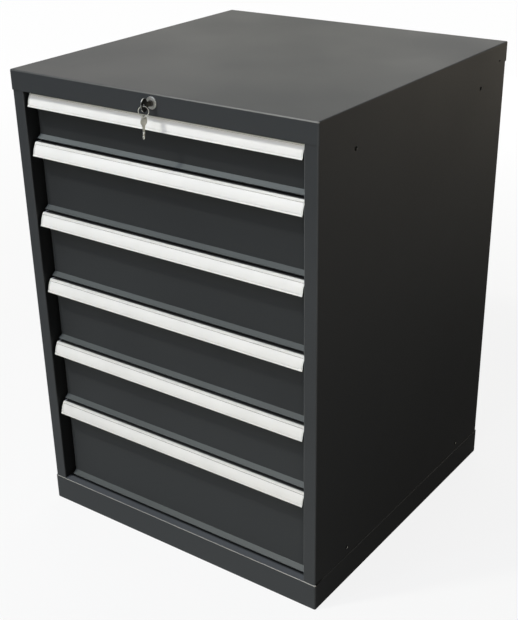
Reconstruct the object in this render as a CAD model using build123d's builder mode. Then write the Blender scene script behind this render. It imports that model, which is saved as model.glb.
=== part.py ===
from build123d import *
import os

os.makedirs("parts", exist_ok=True)

# Drawer cabinet, millimetres. +X right seen from the front, the front faces -Y, +Z up.
# The origin is the centre of the footprint, on the floor.

# ---------------------------------------------------------------- driving dimensions
width = 717.0            # over the cap and the plinth
depth = 725.0
height = 1000.0
cap_height = 40.0
plinth_height = 60.0
proud = 1.5              # the cap and the plinth stand this far out of the body all round
sheet = 1.5              # carcase sheet
thin = 1.25              # drawer sheet

post_width = 28.0        # front posts, folded from the side panels
post_return = 35.0
rear_flange = 22.0

# horizontal division lines between the drawer fronts, top to bottom
divisions = [960.0, 860.0, 711.0, 562.0, 413.0, 264.0, 60.0]
drawer_count = 6

front_y = -331.0         # outer face of the drawer fronts
front_half = 323.0
lip_reach = 10.0         # how far the lower lip of a front slopes out
tray_half = 313.0
tray_back = 290.0
runner_front = -317.0
runner_length = 600.0
runner_rise = 40.0       # runner centre above a drawer's lower division line

lock_x = 4.5
lock_z = 983.0
bar_drop = 12.0          # travel of the central locking bar
crank_radius = 12.0
ring_radius = 9.4
ring_wire = 0.7
key_hole_y = -386.0
key_bow_y = -383.5
ring_turn = (0.8660254, 0.5)   # direction of the ring's plane, seen from above

side_hole_r = 4.25
side_hole_mid = 3.5
side_hole_y = 245.0             # either side of side_hole_mid
side_hole_low = 80.0
side_hole_high = 925.0

# ---------------------------------------------------------------- derived
body_x = width / 2 - proud      # outer face of the side panels
body_y = depth / 2 - proud
body_top = height - sheet
post_in = body_x - post_width   # inner face line of the front posts


def save(p, name):
    p.part.label = name
    export_step(p.part, f"parts/{name}.step")
    print(name, len(p.part.solids()), round(p.part.volume, 1))


def near(v, x, y, tol=0.2):
    return abs(v.X - x) < tol and abs(v.Y - y) < tol


# ---------------------------------------------------------------- side panels
# One folded sheet each: wall, front post with its return, rear flange.
def side_panel(name, sign):
    a, b = body_x, body_y
    pts = [
        (sign * (a - rear_flange), b),
        (sign * a, b),
        (sign * a, -b),
        (sign * post_in, -b),
        (sign * post_in, -b + post_return),
        (sign * (post_in + sheet), -b + post_return),
        (sign * (post_in + sheet), -b + sheet),
        (sign * (a - sheet), -b + sheet),
        (sign * (a - sheet), b - sheet),
        (sign * (a - rear_flange), b - sheet),
    ]
    with BuildPart() as p:
        with BuildSketch(Plane.XY.offset(plinth_height)) as sk:
            with BuildLine():
                Polyline(*pts, close=True)
            make_face()
            fillet([v for v in sk.vertices() if near(v, sign * a, b) or near(v, sign * a, -b)], radius=3.0)
            fillet([v for v in sk.vertices() if near(v, sign * post_in, -b)], radius=1.6)
        extrude(amount=body_top - plinth_height)
        # four fixing holes for joining cabinets side by side
        with BuildSketch(Plane.YZ.offset(sign * a - 10)):
            with Locations(
                (side_hole_mid + side_hole_y, side_hole_low),
                (side_hole_mid - side_hole_y, side_hole_low),
                (side_hole_mid + side_hole_y, side_hole_high),
                (side_hole_mid - side_hole_y, side_hole_high),
            ):
                Circle(side_hole_r)
            with Locations((328.0, 965.5)):
                Circle(2.1)
        extrude(amount=20, mode=Mode.SUBTRACT)
        # rivet holes of the back panel
        with BuildSketch(Plane.XZ.offset(-b - 5)):
            with Locations(*[(sign * 345.0, z) for z in rivet_z]):
                Circle(2.1)
        extrude(amount=10, mode=Mode.SUBTRACT)
    save(p, name)


rivet_z = [100.0, 266.0, 432.0, 598.0, 764.0, 930.0]
side_panel("side_panel_left", -1)
side_panel("side_panel_right", 1)

# ---------------------------------------------------------------- back panel
with BuildPart() as back_panel:
    with BuildSketch(Plane.XZ.offset(-(body_y - sheet))):
        with Locations((0, (plinth_height + body_top) / 2)):
            Rectangle(2 * (body_x - sheet) - 0.4, body_top - plinth_height)
        with Locations(*[(s * 345.0, z) for s in (-1, 1) for z in rivet_z]):
            Circle(2.1, mode=Mode.SUBTRACT)
    extrude(amount=sheet)
save(back_panel, "back_panel")

# ---------------------------------------------------------------- rivets of the back panel
with BuildPart() as body_rivets:
    with BuildSketch(Plane.XZ.offset(-body_y)):
        with Locations(*[(s * 345.0, z) for s in (-1, 1) for z in rivet_z]):
            Circle(4.0)
    extrude(amount=-1.2)
    fillet(body_rivets.edges().group_by(Axis.Y)[-1], radius=0.8)
    with BuildSketch(Plane.XZ.offset(-body_y)):
        with Locations(*[(s * 345.0, z) for s in (-1, 1) for z in rivet_z]):
            Circle(2.0)
    extrude(amount=5.0)
save(body_rivets, "body_rivets")

# ---------------------------------------------------------------- top cap
with BuildPart() as top_cap:
    with BuildSketch(Plane.XY.offset(height - cap_height)):
        RectangleRounded(width, depth, 3.5)
    extrude(amount=cap_height)
    fillet(top_cap.edges().group_by(Axis.Z)[-1], radius=2.6)
    with BuildSketch(Plane.XY.offset(height - cap_height)):
        RectangleRounded(width - 2 * proud, depth - 2 * proud, 2.0)
    extrude(amount=cap_height - sheet, mode=Mode.SUBTRACT)
    # lock hole in the front skirt, small fixing hole near the rear end of each side skirt
    with BuildSketch(Plane.XZ.offset(depth / 2 + 2)):
        with Locations((lock_x, lock_z)):
            Circle(9.15)
    extrude(amount=-8, mode=Mode.SUBTRACT)
    with BuildSketch(Plane.YZ.offset(-width / 2 - 5)):
        with Locations((328.0, 965.5)):
            Circle(2.1)
    extrude(amount=width + 10, mode=Mode.SUBTRACT)
save(top_cap, "top_cap")

# ---------------------------------------------------------------- plinth, folded tray whose top is the cabinet floor
with BuildPart() as plinth_base:
    with BuildSketch(Plane.XY):
        RectangleRounded(width, depth, 3.5)
    extrude(amount=plinth_height)
    fillet(plinth_base.edges().group_by(Axis.Z)[-1], radius=1.3)
    fillet(plinth_base.edges().group_by(Axis.Z)[0], radius=1.3)
    with BuildSketch(Plane.XY.offset(sheet)):
        RectangleRounded(width - 2 * proud, depth - 2 * proud, 2.0)
    extrude(amount=plinth_height - 2 * sheet, mode=Mode.SUBTRACT)
    with BuildSketch(Plane.XY):
        Rectangle(width - 60, depth - 60)
    extrude(amount=sheet, mode=Mode.SUBTRACT)
    # channel across the middle that carries the floor
    with BuildSketch(Plane.YZ.offset(-(width / 2 - proud))):
        with BuildLine():
            Polyline(
                (-30, plinth_height - sheet), (-30, 0), (30, 0), (30, plinth_height - sheet),
                (30 - sheet, plinth_height - sheet), (30 - sheet, sheet), (-30 + sheet, sheet),
                (-30 + sheet, plinth_height - sheet),
                close=True,
            )
        make_face()
    extrude(amount=width - 2 * proud)
save(plinth_base, "plinth_base")

# ---------------------------------------------------------------- rail between the posts behind the cap's skirt
with BuildPart() as front_rail:
    zr = height - cap_height + 0.5
    with BuildSketch(Plane.YZ.offset(-post_in)):
        with BuildLine():
            Polyline(
                (-body_y, zr), (-body_y, body_top), (-body_y + sheet, body_top),
                (-body_y + sheet, zr + sheet), (-body_y + 30, zr + sheet), (-body_y + 30, zr),
                close=True,
            )
        make_face()
    extrude(amount=2 * post_in)
    with BuildSketch(Plane.XZ.offset(depth / 2 + 2)):
        with Locations((lock_x, lock_z)):
            Circle(9.15)
    extrude(amount=-8, mode=Mode.SUBTRACT)
save(front_rail, "front_rail")

# ---------------------------------------------------------------- slotted uprights, two on each side
upright_depth = 22.5
upright_face = body_x - sheet - upright_depth     # x of the slotted face
upright_y = [-310.0, 258.0]
with BuildPart() as uprights:
    with BuildSketch(Plane.XY.offset(plinth_height)):
        for y0 in upright_y:
            with BuildLine():
                Polyline(
                    (body_x - sheet, y0), (upright_face, y0), (upright_face, y0 + 30), (body_x - sheet, y0 + 30),
                    (body_x - sheet, y0 + 28.5), (upright_face + sheet, y0 + 28.5),
                    (upright_face + sheet, y0 + sheet), (body_x - sheet, y0 + sheet),
                    close=True,
                )
            make_face()
    extrude(amount=898)
    with BuildSketch(Plane.YZ.offset(upright_face - 2)):
        for y0 in upright_y:
            with Locations((y0 + 15, 508.0)):
                with GridLocations(1, 25, 1, 34):
                    Rectangle(4, 12)
    extrude(amount=6, mode=Mode.SUBTRACT)
    mirror(about=Plane.YZ)
save(uprights, "uprights")

# ---------------------------------------------------------------- runners
# Three nested channels: fixed member on the uprights, middle member, inner member on the drawer.
runner_z = [divisions[k + 1] + runner_rise for k in range(drawer_count)]


def channel_points(x_web, x_tip, half, zc):
    """Channel section in the XZ plane: web at x_web, flanges reaching to x_tip."""
    s = 1.0 if x_tip > x_web else -1.0
    return [
        (x_tip, zc + half), (x_web, zc + half), (x_web, zc - half), (x_tip, zc - half),
        (x_tip, zc - half + sheet), (x_web + s * sheet, zc - half + sheet),
        (x_web + s * sheet, zc + half - sheet), (x_tip, zc + half - sheet),
    ]


with BuildPart() as fixed_runners:
    with BuildSketch(Plane.XZ.offset(-runner_front)):
        for zc in runner_z:
            with BuildLine():
                Polyline(*channel_points(upright_face, 317.5, 24.0, zc), close=True)
            make_face()
    extrude(amount=-runner_length)
    mirror(about=Plane.YZ)
save(fixed_runners, "fixed_runners")


def slide_members(name, zc):
    with BuildPart() as p:
        with BuildSketch(Plane.XZ.offset(-runner_front)):
            with BuildLine():
                Polyline(*channel_points(328.3, 317.5, 19.0, zc), close=True)
            make_face()
        extrude(amount=-runner_length)
        mirror(about=Plane.YZ)
    save(p, name)


def drawer_runners(name, zc):
    with BuildPart() as p:
        with BuildSketch(Plane.XZ.offset(-runner_front)):
            with BuildLine():
                Polyline(*channel_points(tray_half, 324.5, 14.0, zc), close=True)
            make_face()
        extrude(amount=-runner_length)
        mirror(about=Plane.YZ)
    save(p, name)


# ---------------------------------------------------------------- drawer tray
def drawer_tray(name, zb, zt):
    z0, z1 = zb + 12.0, zt - 26.0
    y0, y1 = front_y + thin, tray_back
    yc = (y0 + y1) / 2
    rim = 7.0
    with BuildPart() as p:
        with BuildSketch(Plane.XY.offset(z0)):
            with Locations((0, yc)):
                Rectangle(2 * tray_half, y1 - y0)
        extrude(amount=z1 - z0)
        with BuildSketch(Plane.XY.offset(z0 + thin)):
            with Locations((0, yc)):
                Rectangle(2 * (tray_half - thin), y1 - y0 - 2 * thin)
        extrude(amount=z1 - z0 - 2 * thin, mode=Mode.SUBTRACT)
        with BuildSketch(Plane.XY.offset(z1 - thin)):
            with Locations((0, yc)):
                Rectangle(2 * (tray_half - thin - rim), y1 - y0 - 2 * thin - 2 * rim)
        extrude(amount=thin, mode=Mode.SUBTRACT)
        # divider slots in the front and back walls
        with BuildSketch(Plane.XZ.offset(-y0 + 1)):
            with Locations((0, (z0 + z1) / 2)):
                with GridLocations(34, 1, 17, 1):
                    Rectangle(2.4, z1 - z0 - 24)
        extrude(amount=-(y1 - y0 + 2), mode=Mode.SUBTRACT)
        # catch for the central locking bar, behind the back wall
        with BuildSketch(Plane.YZ.offset(lock_x - 12)):
            with BuildLine():
                Polyline(
                    (y1, zt - 44), (320, zt - 44), (320, zt - 30), (318.5, zt - 30),
                    (318.5, zt - 42.5), (y1, zt - 42.5),
                    close=True,
                )
            make_face()
        extrude(amount=24)
    save(p, name)


# ---------------------------------------------------------------- drawer front, folded sheet with a sloping lower lip
def drawer_front(name, zb, zt, drop):
    f = front_y
    fold = zb + 11 - drop             # where the lip leaves the front
    edge = zb + 2.5 - 0.77 * drop     # lower edge of the lip
    with BuildPart() as p:
        with BuildSketch(Plane.YZ.offset(-front_half)) as sk:
            with BuildLine():
                Polyline(
                    (f + 13, zt - 5), (f, zt - 5), (f, fold), (f - lip_reach, edge + 1.3),
                    (f - lip_reach, edge), (f + 3, edge), (f + 3, edge + 1.25),
                    (f - 8.4, edge + 1.25), (f + thin, fold - 0.3), (f + thin, zt - 5 - thin),
                    (f + 13, zt - 5 - thin),
                    close=True,
                )
            make_face()
            fillet([v for v in sk.vertices() if near(v, f, zt - 5)], radius=1.0)
        extrude(amount=2 * front_half)
        # side returns
        with BuildSketch(Plane.XY.offset(zb + 13)):
            with Locations((front_half - thin / 2, f + 6), (-front_half + thin / 2, f + 6)):
                Rectangle(thin, 12)
        extrude(amount=zt - 8 - (zb + 13))
    save(p, name)


# ---------------------------------------------------------------- handle profile, extruded over the full front
def handle_point(u, w, zt):
    """u is forward of the drawer front's face, w is measured from the upper division line."""
    return (front_y - u, zt + w)


def handle(name, zt):
    q = lambda u, w: handle_point(u, w, zt)
    with BuildPart() as p:
        with BuildSketch(Plane.YZ.offset(-321)):
            with BuildLine():
                Polyline(q(0, -31), q(0, -4), q(16, -4))
                RadiusArc(q(16, -4), q(18, -6), 2.0)
                Polyline(q(18, -6), q(18.3, -7.3), q(16.78, -7.6))
                ThreePointArc(q(16.78, -7.6), q(21.74, -16.5), q(24.23, -27.4))
                Polyline(q(24.23, -27.4), q(25.6, -27.6), q(26.8, -29.6), q(26.8, -31.0), q(25.4, -31.0), q(22.88, -28.2))
                ThreePointArc(q(22.88, -28.2), q(20.23, -16.5), q(15.7, -8.5))
                Polyline(q(15.7, -8.5), q(14.9, -5.8), q(1.8, -5.8), q(1.8, -31), q(0, -31))
            make_face()
        extrude(amount=642)
    save(p, name)


def handle_end_caps(name, zt):
    q = lambda u, w: handle_point(u, w, zt)
    with BuildPart() as p:
        with BuildSketch(Plane.YZ.offset(321)):
            with BuildLine():
                Polyline(q(0, -31), q(0, -4), q(16, -4))
                RadiusArc(q(16, -4), q(18, -6), 2.0)
                Polyline(q(18, -6), q(18.3, -7.3), q(17.77, -7.6))
                ThreePointArc(q(17.77, -7.6), q(22.6, -16.5), q(25.03, -27.4))
                Polyline(q(25.03, -27.4), q(25.6, -27.6), q(26.8, -29.6), q(26.8, -31.0), q(0, -31))
            make_face()
        extrude(amount=2)
        mirror(about=Plane.YZ)
    save(p, name)


def label_strip(name, zt):
    q = lambda u, w: handle_point(u, w, zt)
    with BuildPart() as p:
        with BuildSketch(Plane.YZ.offset(-320.5)):
            with BuildLine():
                Line(q(17.48, -8.4), q(18.34, -8.4))
                ThreePointArc(q(18.34, -8.4), q(22.97, -17.5), q(25.0, -27.0))
                Line(q(25.0, -27.0), q(24.3, -27.0))
                ThreePointArc(q(24.3, -27.0), q(22.22, -17.5), q(17.48, -8.4))
            make_face()
        extrude(amount=641)
    save(p, name)


for k in range(drawer_count):
    zt, zb = divisions[k], divisions[k + 1]
    n = k + 1
    drawer_tray(f"drawer_{n}_tray", zb, zt)
    drawer_front(f"drawer_{n}_front", zb, zt, 2.2 if n < drawer_count else 0.0)
    handle(f"drawer_{n}_handle", zt)
    handle_end_caps(f"drawer_{n}_handle_end_caps", zt)
    label_strip(f"drawer_{n}_label_strip", zt)
    drawer_runners(f"drawer_{n}_runners", runner_z[k])
    slide_members(f"drawer_{n}_slide_members", runner_z[k])

# ---------------------------------------------------------------- lock
cap_face = -depth / 2
with BuildPart() as lock_cylinder:
    with BuildSketch(Plane.XZ.offset(-cap_face)):
        with Locations((lock_x, lock_z)):
            Circle(11.6)
    extrude(amount=3.0)
    fillet(lock_cylinder.edges().group_by(Axis.Y)[0], radius=1.3)
    with BuildSketch(Plane.XZ.offset(-cap_face)):
        with Locations((lock_x, lock_z)):
            Circle(9.0)
    extrude(amount=-27.5)
    with BuildSketch(Plane.XZ.offset(-cap_face + 5)):
        with Locations((lock_x, lock_z)):
            Circle(6.08)
    extrude(amount=-40, mode=Mode.SUBTRACT)
save(lock_cylinder, "lock_cylinder")

with BuildPart() as lock_nut:
    with BuildSketch(Plane.XZ.offset(body_y - sheet)):
        with Locations((lock_x, lock_z)):
            RegularPolygon(11.0, 6, major_radius=False)
            Circle(9.1, mode=Mode.SUBTRACT)
    extrude(amount=-4.5)
save(lock_nut, "lock_nut")

# plug with keyway, long shaft to the rear, crank and crank pin
with BuildPart() as lock_plug:
    with BuildSketch(Plane.XZ.offset(366.5)):
        with Locations((lock_x, lock_z)):
            Circle(6.0)
    extrude(amount=-32.5)
    with BuildSketch(Plane.XZ.offset(334.0)):
        with Locations((lock_x, lock_z)):
            Circle(8.0)
    extrude(amount=-2.5)
    with BuildSketch(Plane.XZ.offset(332.0)):
        with Locations((lock_x, lock_z)):
            Circle(4.0)
    extrude(amount=-674.0)
    with BuildSketch(Plane.XZ.offset(-338.0)):
        with Locations((lock_x + crank_radius / 2, lock_z)):
            SlotCenterToCenter(crank_radius, 11.0)
    extrude(amount=-4.0)
    with BuildSketch(Plane.XZ.offset(-341.0)):
        with Locations((lock_x + crank_radius, lock_z)):
            Circle(2.0)
    extrude(amount=-9.5)
    with BuildSketch(Plane.XZ.offset(370.0)):
        with Locations((lock_x, lock_z)):
            Rectangle(2.4, 8.6)
    extrude(amount=-17.0, mode=Mode.SUBTRACT)
save(lock_plug, "lock_plug")

# key standing in the plug: blade, shoulder and oval bow with its hole
with BuildPart() as inserted_key:
    with BuildSketch(Plane.YZ.offset(lock_x - 1.0)):
        with Locations((key_bow_y, lock_z)):
            Ellipse(8.5, 12.5)
        with Locations(((-353.0 - 376.0) / 2, lock_z)):
            Rectangle(23.0, 8.0)
        with Locations((-372.5, lock_z)):
            Rectangle(7.0, 10.0)
        with Locations((key_hole_y, lock_z)):
            Circle(2.25, mode=Mode.SUBTRACT)
        # cuts along the lower edge of the blade
        with BuildLine():
            Polyline(
                (-353.0, lock_z - 4.5), (-353.0, lock_z - 1.8), (-354.6, lock_z - 3.4), (-356.2, lock_z - 1.4),
                (-358.0, lock_z - 2.8), (-359.8, lock_z - 1.0), (-361.6, lock_z - 3.0), (-363.0, lock_z - 4.5),
                close=True,
            )
        make_face(mode=Mode.SUBTRACT)
    extrude(amount=2.0)
save(inserted_key, "inserted_key")

ring_z = lock_z - 2.25 + ring_wire + 0.35 - ring_radius
with BuildPart() as key_ring:
    with BuildSketch(Plane((lock_x, key_hole_y, ring_z), x_dir=(ring_turn[0], ring_turn[1], 0), z_dir=(0, 0, 1))) as wire_section:
        with Locations((ring_radius, 0)):
            Circle(ring_wire)
    revolve(axis=Axis((lock_x, key_hole_y, ring_z), (-ring_turn[1], ring_turn[0], 0)))
save(key_ring, "key_ring")

# ---------------------------------------------------------------- central locking bar at the rear
with BuildPart() as lock_bar:
    with BuildSketch(Plane.XZ.offset(-346.0)):
        with Locations((lock_x, 543.0)):
            Rectangle(20, 886)
        with Locations((lock_x + 5, 984.0)):
            Rectangle(30, 24)
        with Locations((lock_x + 6.0, lock_z - 1.3)):
            Rectangle(18.0, 7.4, mode=Mode.SUBTRACT)
    extrude(amount=-3.0)
    for k in range(drawer_count):
        zt = divisions[k]
        with BuildSketch(Plane.YZ.offset(lock_x - 6)):
            with BuildLine():
                Polyline(
                    (346, zt - 10), (303, zt - 10), (303, zt - 28), (306, zt - 28), (306, zt - 13), (346, zt - 13),
                    close=True,
                )
            make_face()
        extrude(amount=12)
save(lock_bar, "lock_bar")

with BuildPart() as bar_guides:
    for zg in (120.0, 470.0, 880.0):
        with BuildSketch(Plane.XY.offset(zg)):
            with Locations((lock_x, 350.75)):
                Rectangle(36, 14.5)
            with Locations((lock_x, 347.5)):
                Rectangle(21, 4, mode=Mode.SUBTRACT)
        extrude(amount=20)
save(bar_guides, "bar_guides")

with BuildPart() as shaft_bracket:
    with BuildSketch(Plane.XZ.offset(-325.0)):
        with Locations((lock_x, (970 + body_top) / 2)):
            Rectangle(30, body_top - 970)
        with Locations((lock_x, lock_z)):
            Circle(4.08, mode=Mode.SUBTRACT)
    extrude(amount=-3.0)
    with BuildSketch(Plane.XY.offset(body_top - 2)):
        with Locations((lock_x, 318.0)):
            Rectangle(30, 20)
    extrude(amount=2.0)
save(shaft_bracket, "shaft_bracket")
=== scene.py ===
import math

import bmesh
import bpy
from mathutils import Matrix, Vector


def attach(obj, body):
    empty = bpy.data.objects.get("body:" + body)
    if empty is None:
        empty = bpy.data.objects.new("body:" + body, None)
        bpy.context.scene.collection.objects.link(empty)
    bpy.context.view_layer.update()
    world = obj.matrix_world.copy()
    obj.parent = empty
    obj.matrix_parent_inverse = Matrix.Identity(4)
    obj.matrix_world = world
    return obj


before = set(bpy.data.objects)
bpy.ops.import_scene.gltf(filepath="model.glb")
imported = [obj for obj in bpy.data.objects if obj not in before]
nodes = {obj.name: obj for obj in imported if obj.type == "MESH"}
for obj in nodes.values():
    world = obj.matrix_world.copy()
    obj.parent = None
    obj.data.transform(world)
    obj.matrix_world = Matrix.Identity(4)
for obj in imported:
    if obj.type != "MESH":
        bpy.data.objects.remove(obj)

scene = bpy.context.scene
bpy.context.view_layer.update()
DRAWERS = range(1, 7)
LOCK_X = 0.0045
KEY_Y = -0.386

# ================================================================ camera
camera_data = bpy.data.cameras.new("camera")
camera_data.sensor_width = 36.0
camera_data.sensor_fit = "AUTO"
camera_data.lens = 64.8141
camera_data.shift_x = 0.00985
camera_data.shift_y = 0.04896
camera_data.clip_start = 0.05
camera_data.clip_end = 200.0
camera = bpy.data.objects.new("camera", camera_data)
scene.collection.objects.link(camera)
camera.matrix_world = Matrix((
    (0.81099138, -0.24836683, 0.52972342, 1.31072976),
    (0.58475870, 0.37306600, -0.72033258, -1.84918295),
    (-0.01871508, 0.89394389, 0.44778797, 1.49220291),
    (0.0, 0.0, 0.0, 1.0),
))
scene.camera = camera
scene.view_settings.view_transform = "Standard"
scene.view_settings.look = "None"


# ================================================================ node helpers
class Graph:
    """Short names for building a material's nodes."""

    def __init__(self, name):
        self.material = bpy.data.materials.new(name)
        self.material.use_nodes = True
        self.tree = self.material.node_tree
        self.tree.nodes.clear()
        self.out = self.tree.nodes.new("ShaderNodeOutputMaterial")

    def new(self, kind, **settings):
        node = self.tree.nodes.new(kind)
        for key, value in settings.items():
            setattr(node, key, value)
        return node

    def link(self, a, b):
        self.tree.links.new(a, b)

    def put(self, socket, value):
        if isinstance(value, bpy.types.NodeSocket):
            self.link(value, socket)
        else:
            socket.default_value = value

    def coords(self, scale=(1.0, 1.0, 1.0)):
        texture = self.new("ShaderNodeTexCoord")
        mapping = self.new("ShaderNodeMapping")
        mapping.inputs["Scale"].default_value = scale
        self.link(texture.outputs["Object"], mapping.inputs["Vector"])
        return mapping.outputs["Vector"]

    def noise(self, vector, scale, detail=2.0, rough=0.5):
        node = self.new("ShaderNodeTexNoise")
        self.link(vector, node.inputs["Vector"])
        node.inputs["Scale"].default_value = scale
        node.inputs["Detail"].default_value = detail
        node.inputs["Roughness"].default_value = rough
        return node.outputs["Fac"]

    def ramp(self, fac, low, high, a=0.3, b=0.7):
        """fac from a to b gives low to high, as a float."""
        node = self.new("ShaderNodeMapRange")
        self.link(fac, node.inputs["Value"])
        node.inputs["From Min"].default_value = a
        node.inputs["From Max"].default_value = b
        node.inputs["To Min"].default_value = low
        node.inputs["To Max"].default_value = high
        return node.outputs["Result"]

    def math(self, operation, a, b=0.0):
        node = self.new("ShaderNodeMath", operation=operation)
        self.put(node.inputs[0], a)
        self.put(node.inputs[1], b)
        return node.outputs[0]

    def mix(self, fac, a, b, blend="MIX"):
        node = self.new("ShaderNodeMix", data_type="RGBA", blend_type=blend)
        self.put(node.inputs[0], fac)
        self.put(node.inputs[6], a)
        self.put(node.inputs[7], b)
        return node.outputs[2]

    def parts(self, vector):
        node = self.new("ShaderNodeSeparateXYZ")
        self.link(vector, node.inputs[0])
        return node.outputs[0], node.outputs[1], node.outputs[2]

    def band(self, value, a, b, c, d):
        """0 below a, 1 from b to c, 0 above d."""
        return self.math("MULTIPLY", self.ramp(value, 0.0, 1.0, a, b), self.ramp(value, 1.0, 0.0, c, d))

    def product(self, *factors):
        out = factors[0]
        for factor in factors[1:]:
            out = self.math("MULTIPLY", out, factor)
        return out

    def bump(self, height, distance, strength=1.0, normal=None):
        node = self.new("ShaderNodeBump")
        self.link(height, node.inputs["Height"])
        node.inputs["Distance"].default_value = distance
        node.inputs["Strength"].default_value = strength
        if normal is not None:
            self.link(normal, node.inputs["Normal"])
        return node.outputs["Normal"]

    def principled(self, **values):
        node = self.new("ShaderNodeBsdfPrincipled")
        names = {
            "color": "Base Color", "rough": "Roughness", "metal": "Metallic", "normal": "Normal",
            "specular": "Specular IOR Level", "coat": "Coat Weight", "coat_rough": "Coat Roughness", "ior": "IOR",
            "sheen": "Sheen Weight", "aniso": "Anisotropic",
        }
        for key, value in values.items():
            self.put(node.inputs[names[key]], value)
        self.link(node.outputs[0], self.out.inputs["Surface"])
        return node


def rgb(r, g, b):
    return (r, g, b, 1.0)


# ================================================================ materials
def powder_coat(name, base, rough=0.46, specular=0.2, lip_light=1.9, carcase=False):
    """Anthracite powder coat: fine orange peel, faint cloudiness and pale specks; painted light and shade on top: front
    faces lighter towards the bottom and darker towards the top, and on the carcase painted highlight lines along edges,
    a painted pale sill and painted shade in recesses and on faces turned to +X; elsewhere sloping lips painted paler.
    """
    g = Graph(name)
    v = g.coords()
    cloud = g.noise(v, 3.2, 3.0, 0.55)
    speck = g.noise(v, 1500.0, 1.0, 0.5)
    peel = g.noise(v, 520.0, 2.0, 0.55)
    colour = g.mix(g.ramp(cloud, 0.0, 1.0, 0.35, 0.65), rgb(*[c * 0.94 for c in base]), rgb(*[c * 1.06 for c in base]))
    colour = g.mix(g.ramp(speck, 0.0, 0.35, 0.62, 0.78), colour, rgb(*[c * 1.9 for c in base]))
    nx, ny, nz = g.parts(g.new("ShaderNodeTexCoord").outputs["Normal"])
    uneven = g.ramp(cloud, 0.8, 1.0, 0.35, 0.65)
    x, y, z = g.parts(g.new("ShaderNodeTexCoord").outputs["Object"])
    # painted light and shade: front-facing surfaces lighter towards the bottom and darker towards the top, standing in
    # for light thrown up from the floor
    front_face = g.ramp(ny, 1.0, 0.0, -0.98, -0.9)
    colour = g.mix(g.product(front_face, g.ramp(z, 1.0, 0.0, 0.0, 0.45)), colour, rgb(*[c * (1.26 if carcase else 1.42) for c in base]))
    colour = g.mix(g.product(front_face, g.ramp(z, 0.0, 1.0, 0.5, 1.0)), colour, rgb(*[c * (0.80 if carcase else 0.70) for c in base]))
    if carcase:
        forward = g.ramp(ny, 1.0, 0.0, -0.3, -0.1)
        # painted highlight: thin pale lines along the front top edges of the cap and the plinth, stronger towards the
        # right
        edge = g.product(g.band(nz, 0.05, 0.2, 0.93, 0.985), forward, g.math("MAXIMUM", g.ramp(x, 0.2, 1.0, -0.35, 0.33), g.ramp(z, 0.8, 0.0, 0.1, 0.9)), uneven, g.ramp(z, 1.0, 0.42, 0.1, 0.9))
        colour = g.mix(edge, colour, rgb(0.50, 0.485, 0.455))
        # painted highlight along the inner edge of the right-hand post
        inner_highlight = g.product(g.band(nx, -0.97, -0.85, -0.35, -0.15), forward, g.ramp(x, 0.0, 0.35, 0.30, 0.31))
        colour = g.mix(inner_highlight, colour, rgb(0.35, 0.36, 0.36))
        # painted light: the top of the plinth in front of the drawers painted pale; painted shade behind the lip,
        # inside the drawer bay and in the notch where the side panels meet the plinth
        low = g.ramp(z, 1.0, 0.0, 0.062, 0.064)
        sill_light = g.product(low, g.ramp(nz, 0.0, 1.0, 0.9, 0.98), g.ramp(y, 1.0, 0.0, -0.347, -0.344), uneven)
        colour = g.mix(sill_light, colour, rgb(*[c * 2.5 for c in base]))
        width = g.math("ABSOLUTE", x)
        behind = g.product(low, g.band(y, -0.345, -0.342, 0.30, 0.32), g.ramp(z, 0.0, 1.0, 0.055, 0.057), g.ramp(width, 1.0, 0.0, 0.328, 0.330))
        bay = g.product(g.band(width, 0.300, 0.318, 0.3295, 0.3305), g.band(y, -0.3595, -0.357, 0.30, 0.32),
                        g.band(z, 0.0608, 0.0615, 0.957, 0.960))
        corner = g.product(g.ramp(width, 0.0, 1.0, 0.3540, 0.3545), g.band(z, 0.0585, 0.0592, 0.0625, 0.0635), g.band(y, -0.3600, -0.3590, -0.345, -0.330))
        # painted shade: faces turned towards +X, the right-hand side among them, are darkened
        colour = g.mix(g.ramp(nx, 0.0, 1.0, 0.9, 0.98), colour, rgb(*[c * 0.6 for c in base]))
        # painted shade behind the lip, in the drawer bay and in the notch at the plinth
        dark = g.math("MAXIMUM", g.math("MAXIMUM", behind, bay), corner)
        colour = g.mix(dark, colour, rgb(*[c * 0.2 for c in base]))
    else:
        # painted light: the sloping lower lip painted paler, paler still on the upper drawers
        slope = g.product(g.band(nz, 0.12, 0.4, 0.9, 0.985), uneven)
        lit_lip = (base[0] * lip_light * 1.01, base[1] * lip_light * 1.04, base[2] * lip_light * 0.98)
        lit_lip_colour = g.mix(g.ramp(z, 0.0, 1.0, 0.72, 0.87), rgb(*lit_lip), rgb(*[c * 1.5 for c in lit_lip]))
        colour = g.mix(slope, colour, lit_lip_colour)
    roughness = g.math("ADD", g.ramp(cloud, rough - 0.03, rough + 0.03, 0.35, 0.65), g.ramp(peel, -0.03, 0.03, 0.35, 0.65))
    normal = g.bump(peel, 0.00006, 0.55)
    g.principled(color=colour, rough=roughness, normal=normal, specular=specular)
    return g.material


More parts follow.
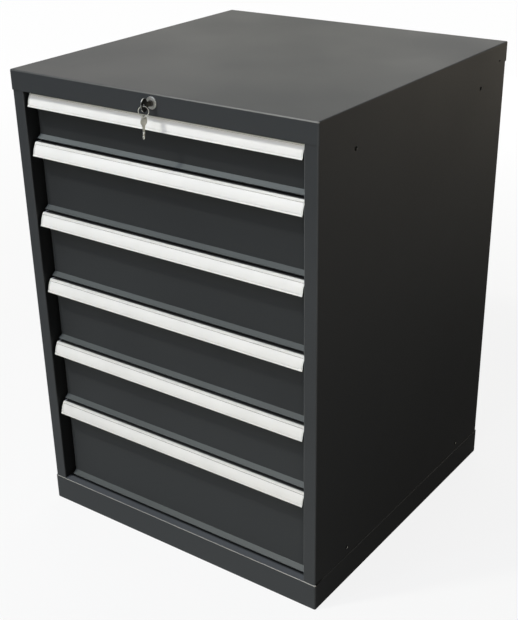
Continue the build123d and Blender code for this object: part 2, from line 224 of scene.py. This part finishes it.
def satin_aluminium(name):
    """Pale satin extrusion: drawn along the handle, so its streaks run along X."""
    g = Graph(name)
    streak = g.noise(g.coords((1.2, 60.0, 60.0)), 26.0, 3.0, 0.6)
    cloud = g.noise(g.coords(), 9.0, 2.0, 0.5)
    fine = g.noise(g.coords((8.0, 900.0, 900.0)), 2.0, 2.0, 0.6)
    colour = g.mix(g.ramp(cloud, 0.0, 1.0, 0.3, 0.7), rgb(0.80, 0.785, 0.755), rgb(0.86, 0.845, 0.815))
    colour = g.mix(g.ramp(streak, 0.0, 0.10, 0.5, 0.8), colour, rgb(0.62, 0.63, 0.63))
    # painted shade on the back of the flat top, under the lip of the drawer above, and on the top drawer's upper edge,
    # close under the cap
    x, y, z = g.parts(g.new("ShaderNodeTexCoord").outputs["Object"])
    nz = g.parts(g.new("ShaderNodeTexCoord").outputs["Normal"])[2]
    gap_shade = g.product(g.ramp(nz, 0.0, 1.0, 0.9, 0.97), g.ramp(y, 0.0, 1.0, -0.3450, -0.3425))
    gap_shade = g.math("MAXIMUM", gap_shade, g.ramp(z, 0.0, 1.0, 0.9530, 0.9545))
    colour = g.mix(gap_shade, colour, rgb(0.035, 0.035, 0.035))
    roughness = g.ramp(streak, 0.36, 0.46, 0.3, 0.7)
    g.principled(color=colour, rough=roughness, metal=0.05, normal=g.bump(fine, 0.00002, 0.5), specular=0.4)
    return g.material


def pale_plastic(name, base, rough, coat=0.0, dark_axis=None):
    """Pale moulded plastic; faces across dark_axis are near-black: the caps' outer ends, and as painted shade the
    strip's cut upper edge in its groove.
    """
    g = Graph(name)
    v = g.coords()
    cloud = g.noise(v, 14.0, 3.0, 0.5)
    grain = g.noise(v, 900.0, 2.0, 0.5)
    colour = g.mix(g.ramp(cloud, 0.0, 1.0, 0.3, 0.7), rgb(*[c * 0.97 for c in base]), rgb(*[min(1.0, c * 1.02) for c in base]))
    if dark_axis is not None:
        across = g.math("ABSOLUTE", g.parts(g.new("ShaderNodeTexCoord").outputs["Normal"])[dark_axis])
        colour = g.mix(g.ramp(across, 0.0, 1.0, 0.80, 0.90), colour, rgb(0.02, 0.02, 0.021))
    node = g.principled(color=colour, rough=g.ramp(grain, rough - 0.04, rough + 0.04), normal=g.bump(grain, 0.00003, 0.5))
    node.inputs["Coat Weight"].default_value = coat
    node.inputs["Coat Roughness"].default_value = 0.15
    return g.material


def zinc(name):
    """Bright zinc plate: rolled streaks along Y and cloudy passivation."""
    g = Graph(name)
    roll = g.noise(g.coords((140.0, 4.0, 140.0)), 6.0, 3.0, 0.6)
    cloud = g.noise(g.coords(), 22.0, 4.0, 0.6)
    colour = g.mix(g.ramp(cloud, 0.0, 1.0, 0.3, 0.7), rgb(0.50, 0.51, 0.52), rgb(0.66, 0.66, 0.65))
    roughness = g.math("ADD", g.ramp(cloud, 0.28, 0.40), g.ramp(roll, -0.04, 0.04))
    g.principled(color=colour, rough=roughness, metal=1.0, normal=g.bump(roll, 0.00003, 0.4))
    return g.material


def nickel(name, base=(0.62, 0.61, 0.58), rough=0.2, dark_reflection=False, blade_glints=False):
    """Nickel plate with fine handling scratches; optionally a painted dark reflection on the flats across X with
    painted dark spots breaking up the rim's highlight, and optionally two painted highlight bands across the blade.
    """
    g = Graph(name)
    v = g.coords()
    scratch = g.noise(g.coords((1.0, 1.0, 14.0)), 700.0, 3.0, 0.65)
    cloud = g.noise(v, 160.0, 3.0, 0.5)
    colour = g.mix(g.ramp(cloud, 0.0, 1.0), rgb(*[c * 0.86 for c in base]), rgb(*[min(1.0, c * 1.08) for c in base]))
    roughness = g.math("ADD", g.ramp(cloud, rough - 0.04, rough + 0.06), g.ramp(scratch, -0.03, 0.05))
    # painted highlight: two bright bands across the blade
    if blade_glints:
        z = g.parts(g.new("ShaderNodeTexCoord").outputs["Object"])[2]
        glint_bands = g.math("ADD", g.band(z, 0.9322, 0.9332, 0.9358, 0.9368), g.band(z, 0.9205, 0.9215, 0.9275, 0.9290))
        colour = g.mix(g.math("MINIMUM", glint_bands, 1.0), colour, rgb(0.98, 0.97, 0.92))
    # painted reflection: the flats across X darkened as if mirroring a dark room, with painted dark spots that break up
    # the rim's highlight
    if dark_reflection:
        flat = g.ramp(g.math("ABSOLUTE", g.parts(g.new("ShaderNodeTexCoord").outputs["Normal"])[0]), 0.0, 1.0, 0.85, 0.97)
        highlight_breaks = g.ramp(g.noise(v, 330.0, 1.0, 0.5), 0.0, 0.85, 0.50, 0.60)
        colour = g.mix(g.math("MAXIMUM", flat, highlight_breaks), colour, rgb(0.045, 0.045, 0.043))
    g.principled(color=colour, rough=roughness, metal=1.0, normal=g.bump(scratch, 0.00001, 0.5))
    return g.material


carcase_paint = powder_coat("carcase_paint", (0.048, 0.051, 0.055), carcase=True)
front_paint = powder_coat("front_paint", (0.0348, 0.0370, 0.0396), rough=0.44, specular=0.22, lip_light=2.8)
tray_paint = powder_coat("tray_paint", (0.060, 0.064, 0.068), rough=0.5)
handle_aluminium = satin_aluminium("handle_aluminium")
end_cap_plastic = pale_plastic("end_cap_plastic", (0.78, 0.78, 0.76), 0.45, dark_axis=0)
label_plastic = pale_plastic("label_plastic", (0.866, 0.85, 0.838), 0.4, coat=0.25, dark_axis=2)
zinc_steel = zinc("zinc_steel")
nickel_plate = nickel("nickel", (0.74, 0.735, 0.71), 0.38)
plug_nickel = nickel("plug_nickel", (0.20, 0.195, 0.185), 0.34)
ring_nickel = nickel("ring_nickel", (0.74, 0.73, 0.69), 0.36)
key_nickel = nickel("key_nickel", (0.54, 0.52, 0.46), 0.36, blade_glints=True)
dark_key_nickel = nickel("dark_key_nickel", (0.95, 0.94, 0.90), 0.32, dark_reflection=True)


def dress(node, material):
    mesh = nodes[node].data
    mesh.materials.clear()
    mesh.materials.append(material)


for name in ("side_panel_left", "side_panel_right", "back_panel", "top_cap", "plinth_base", "front_rail", "body_rivets"):
    dress(name, carcase_paint)
for name in ("uprights", "fixed_runners", "bar_guides", "shaft_bracket", "lock_bar", "lock_nut"):
    dress(name, zinc_steel)
dress("lock_cylinder", nickel_plate)
dress("lock_plug", plug_nickel)
dress("key_ring", ring_nickel)
dress("inserted_key", dark_key_nickel)
for k in DRAWERS:
    dress(f"drawer_{k}_tray", tray_paint)
    dress(f"drawer_{k}_front", front_paint)
    dress(f"drawer_{k}_handle", handle_aluminium)
    dress(f"drawer_{k}_handle_end_caps", end_cap_plastic)
    dress(f"drawer_{k}_label_strip", label_plastic)
    dress(f"drawer_{k}_runners", zinc_steel)
    dress(f"drawer_{k}_slide_members", zinc_steel)

# ================================================================ spare key on the ring
def smooth(points, steps=5):
    """Catmull-Rom through the points, ends kept."""
    out = []
    for i in range(len(points) - 1):
        p0 = points[max(i - 1, 0)]
        p1, p2 = points[i], points[i + 1]
        p3 = points[min(i + 2, len(points) - 1)]
        for j in range(steps):
            t = j / steps
            out.append(tuple(
                0.5 * (2 * p1[a] + (p2[a] - p0[a]) * t + (2 * p0[a] - 5 * p1[a] + 4 * p2[a] - p3[a]) * t * t
                       + (3 * p1[a] - p0[a] - 3 * p2[a] + p3[a]) * t ** 3)
                for a in (0, 1)))
    out.append(points[-1])
    return out


def plate(bm, loops, half):
    """Flat plate in the YZ plane: the first loop is the outline, the others are holes; half is half its thickness."""
    edges = []
    for loop in loops:
        vs = [bm.verts.new((-half, y, z)) for y, z in loop]
        edges += [bm.edges.new((vs[i], vs[(i + 1) % len(vs)])) for i in range(len(vs))]
    fill = bmesh.ops.triangle_fill(bm, edges=edges, use_beauty=True, use_dissolve=True)
    faces = [f for f in fill["geom"] if isinstance(f, bmesh.types.BMFace)]
    grown = bmesh.ops.extrude_face_region(bm, geom=faces)
    moved = [v for v in grown["geom"] if isinstance(v, bmesh.types.BMVert)]
    bmesh.ops.translate(bm, verts=moved, vec=(2 * half, 0, 0))


def spare_key():
    """Second key hanging from the ring; millimetres, its hole at the origin."""
    side = smooth([(0, 4.3), (3.1, 3.6), (5.1, 1.2), (6.9, -1.8), (8.3, -5.6), (8.0, -9.6), (5.3, -12.9), (3.4, -14.9)])
    outline = side + [(3.3, -16.4), (2.3, -16.4), (2.3, -37.0), (2.0, -38.6), (1.5, -38.9), (1.5, -18.0), (0.5, -18.0), (0.5, -39.4)]
    outline += [(-0.6, -39.4), (-1.5, -36.4), (-2.0, -34.2), (-0.9, -32.2), (-1.8, -30.2), (-0.7, -28.2), (-1.9, -26.4), (-1.1, -24.6)]
    outline += [(-2.2, -22.6), (-2.2, -16.4), (-3.3, -16.4)] + [(-y, z) for y, z in reversed(side[1:])]
    hole = [(2.2 * math.cos(a * math.pi / 12), 2.2 * math.sin(a * math.pi / 12)) for a in range(24)]
    bm = bmesh.new()
    plate(bm, [outline, hole], 1.0)
    plate(bm, [[(0.3, -17.8), (1.7, -17.8), (1.7, -38.4), (0.3, -38.8)]], 0.5)
    bmesh.ops.recalc_face_normals(bm, faces=bm.faces)
    bmesh.ops.scale(bm, vec=(0.001, 0.001, 0.001), verts=bm.verts)
    bmesh.ops.rotate(bm, cent=(0, 0, 0), matrix=Matrix.Rotation(math.radians(-6), 3, "X"), verts=bm.verts)
    bmesh.ops.translate(bm, vec=(LOCK_X, KEY_Y, 0.96155), verts=bm.verts)
    mesh = bpy.data.meshes.new("spare_key")
    bm.to_mesh(mesh)
    bm.free()
    mesh.materials.append(key_nickel)
    key = bpy.data.objects.new("spare_key", mesh)
    scene.collection.objects.link(key)
    edge = key.modifiers.new("edge", "BEVEL")
    edge.width = 0.0003
    edge.segments = 2
    edge.limit_method = "ANGLE"
    edge.angle_limit = math.radians(40)
    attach(key, "ring")
    return key


spare_key()

# small radii on the lock's edges
for name, radius in (("inserted_key", 0.0004), ("lock_plug", 0.0003)):
    edge = nodes[name].modifiers.new("edge", "BEVEL")
    edge.width = radius
    edge.segments = 2
    edge.limit_method = "ANGLE"
    edge.angle_limit = math.radians(50)

# ================================================================ floor and light
def floor_material():
    """Pale floor: near white where the camera sees it, with a soft contact shadow. What it throws back on the object is greyer."""
    g = Graph("floor")
    shaded = g.new("ShaderNodeBsdfDiffuse")
    shaded.inputs["Color"].default_value = rgb(0.9, 0.9, 0.9)
    glow = g.new("ShaderNodeEmission")
    glow.inputs["Color"].default_value = rgb(1.0, 1.0, 1.0)
    glow.inputs["Strength"].default_value = 1.0
    seen = g.new("ShaderNodeMixShader")
    x, y, z = g.parts(g.new("ShaderNodeTexCoord").outputs["Object"])
    away = g.math("SQRT", g.math("ADD", g.math("MULTIPLY", x, x), g.math("MULTIPLY", y, y)))
    g.link(g.ramp(away, 0.86, 0.99, 1.1, 4.0), seen.inputs[0])
    g.link(shaded.outputs[0], seen.inputs[1])
    g.link(glow.outputs[0], seen.inputs[2])
    unseen = g.new("ShaderNodeBsdfDiffuse")
    # the right-hand side mirrors this floor: dark close by, pale further out
    right = g.product(g.ramp(x, 0.0, 1.0, 0.36, 0.45), g.ramp(y, 0.0, 1.0, -0.8, -0.3))
    outward = g.mix(g.ramp(x, 0.0, 1.0, 0.9, 1.9), rgb(0.10, 0.10, 0.10), rgb(0.85, 0.83, 0.80))
    g.link(g.mix(right, rgb(0.28, 0.28, 0.28), outward), unseen.inputs["Color"])
    path = g.new("ShaderNodeLightPath")
    mix = g.new("ShaderNodeMixShader")
    g.link(path.outputs["Is Camera Ray"], mix.inputs[0])
    g.link(unseen.outputs[0], mix.inputs[1])
    g.link(seen.outputs[0], mix.inputs[2])
    g.link(mix.outputs[0], g.out.inputs["Surface"])
    return g.material


floor_mesh = bpy.data.meshes.new("floor")
s = 60.0
floor_mesh.from_pydata([(-s, -s, 0), (s, -s, 0), (s, s, 0), (-s, s, 0)], [], [(0, 1, 2, 3)])
floor = bpy.data.objects.new("floor", floor_mesh)
scene.collection.objects.link(floor)
floor.location.z = -0.0006
floor_mesh.materials.append(floor_material())


def area_light(name, place, target, size, power, colour=(1.0, 1.0, 1.0), size_y=None):
    data = bpy.data.lights.new(name, "AREA")
    data.energy = power
    data.color = colour
    data.shape = "RECTANGLE"
    data.size = size
    data.size_y = size_y or size
    light = bpy.data.objects.new(name, data)
    scene.collection.objects.link(light)
    light.location = place
    light.rotation_mode = "QUATERNION"
    light.rotation_quaternion = (Vector(target) - Vector(place)).to_track_quat("-Z", "Y")
    light.visible_camera = False
    return light


area_light("main", (-1.2, -2.2, 3.9), (0.0, -0.3, 0.5), 0.3, 65.5, (1.0, 1.0, 0.90))
area_light("top_front", (-0.3, -2.2, 3.2), (0.0, 0.0, 0.6), 2.2, 39.3, (0.67, 0.76, 1.0))
area_light("far_front", (0.5, -7.0, 0.9), (0.0, -0.3, 0.4), 2.5, 118.0, (0.97, 1.0, 0.86))
area_light("front_left", (-1.33, -4.1, 2.4), (0.0, -0.36, 0.9), 0.3, 21.0)
area_light("low_right", (1.6, -2.2, 0.35), (0.0, -0.3, 0.2), 1.0, 11.0, (1.0, 0.92, 0.78), size_y=0.5)
area_light("side_right", (5.0, 0.3, 0.7), (0.36, 0.0, 0.5), 2.5, 24.0, (1.0, 0.97, 0.92), size_y=1.2)
area_light("back_left", (-3.6, 2.81, 2.48), (0.0, 0.0, 0.9), 1.7, 21.2, (1.0, 0.974, 0.911), size_y=3.4)
area_light("back_middle", (-2.49, 3.83, 2.48), (0.0, 0.0, 0.9), 1.7, 21.7, (1.0, 0.989, 0.905), size_y=3.4)
area_light("back_right", (-1.10, 4.43, 2.48), (0.0, 0.0, 0.9), 1.7, 24.6, (1.0, 0.981, 0.931), size_y=3.4)
area_light("back_low", (-0.6, 4.0, 0.45), (-0.6, 0.0, 0.45), 1.5, 42.0, (0.97, 0.99, 1.0), size_y=0.8)
area_light("back_wall", (2.5, 4.5, 1.2), (0.0, 0.0, 0.9), 3.0, 43.0, (1.0, 0.89, 0.72))


def world_nodes():
    """Even pale backdrop for the camera, a weak fill for everything else."""
    world = bpy.data.worlds.new("world")
    world.use_nodes = True
    tree = world.node_tree
    tree.nodes.clear()
    out = tree.nodes.new("ShaderNodeOutputWorld")
    fill = tree.nodes.new("ShaderNodeBackground")
    fill.inputs["Color"].default_value = rgb(1.0, 1.0, 1.0)
    fill.inputs["Strength"].default_value = 0.012
    backdrop = tree.nodes.new("ShaderNodeBackground")
    backdrop.inputs["Color"].default_value = rgb(0.995, 0.995, 0.995)
    backdrop.inputs["Strength"].default_value = 1.0
    path = tree.nodes.new("ShaderNodeLightPath")
    mix = tree.nodes.new("ShaderNodeMixShader")
    tree.links.new(path.outputs["Is Camera Ray"], mix.inputs[0])
    tree.links.new(fill.outputs[0], mix.inputs[1])
    tree.links.new(backdrop.outputs[0], mix.inputs[2])
    tree.links.new(mix.outputs[0], out.inputs["Surface"])
    return world


scene.world = world_nodes()
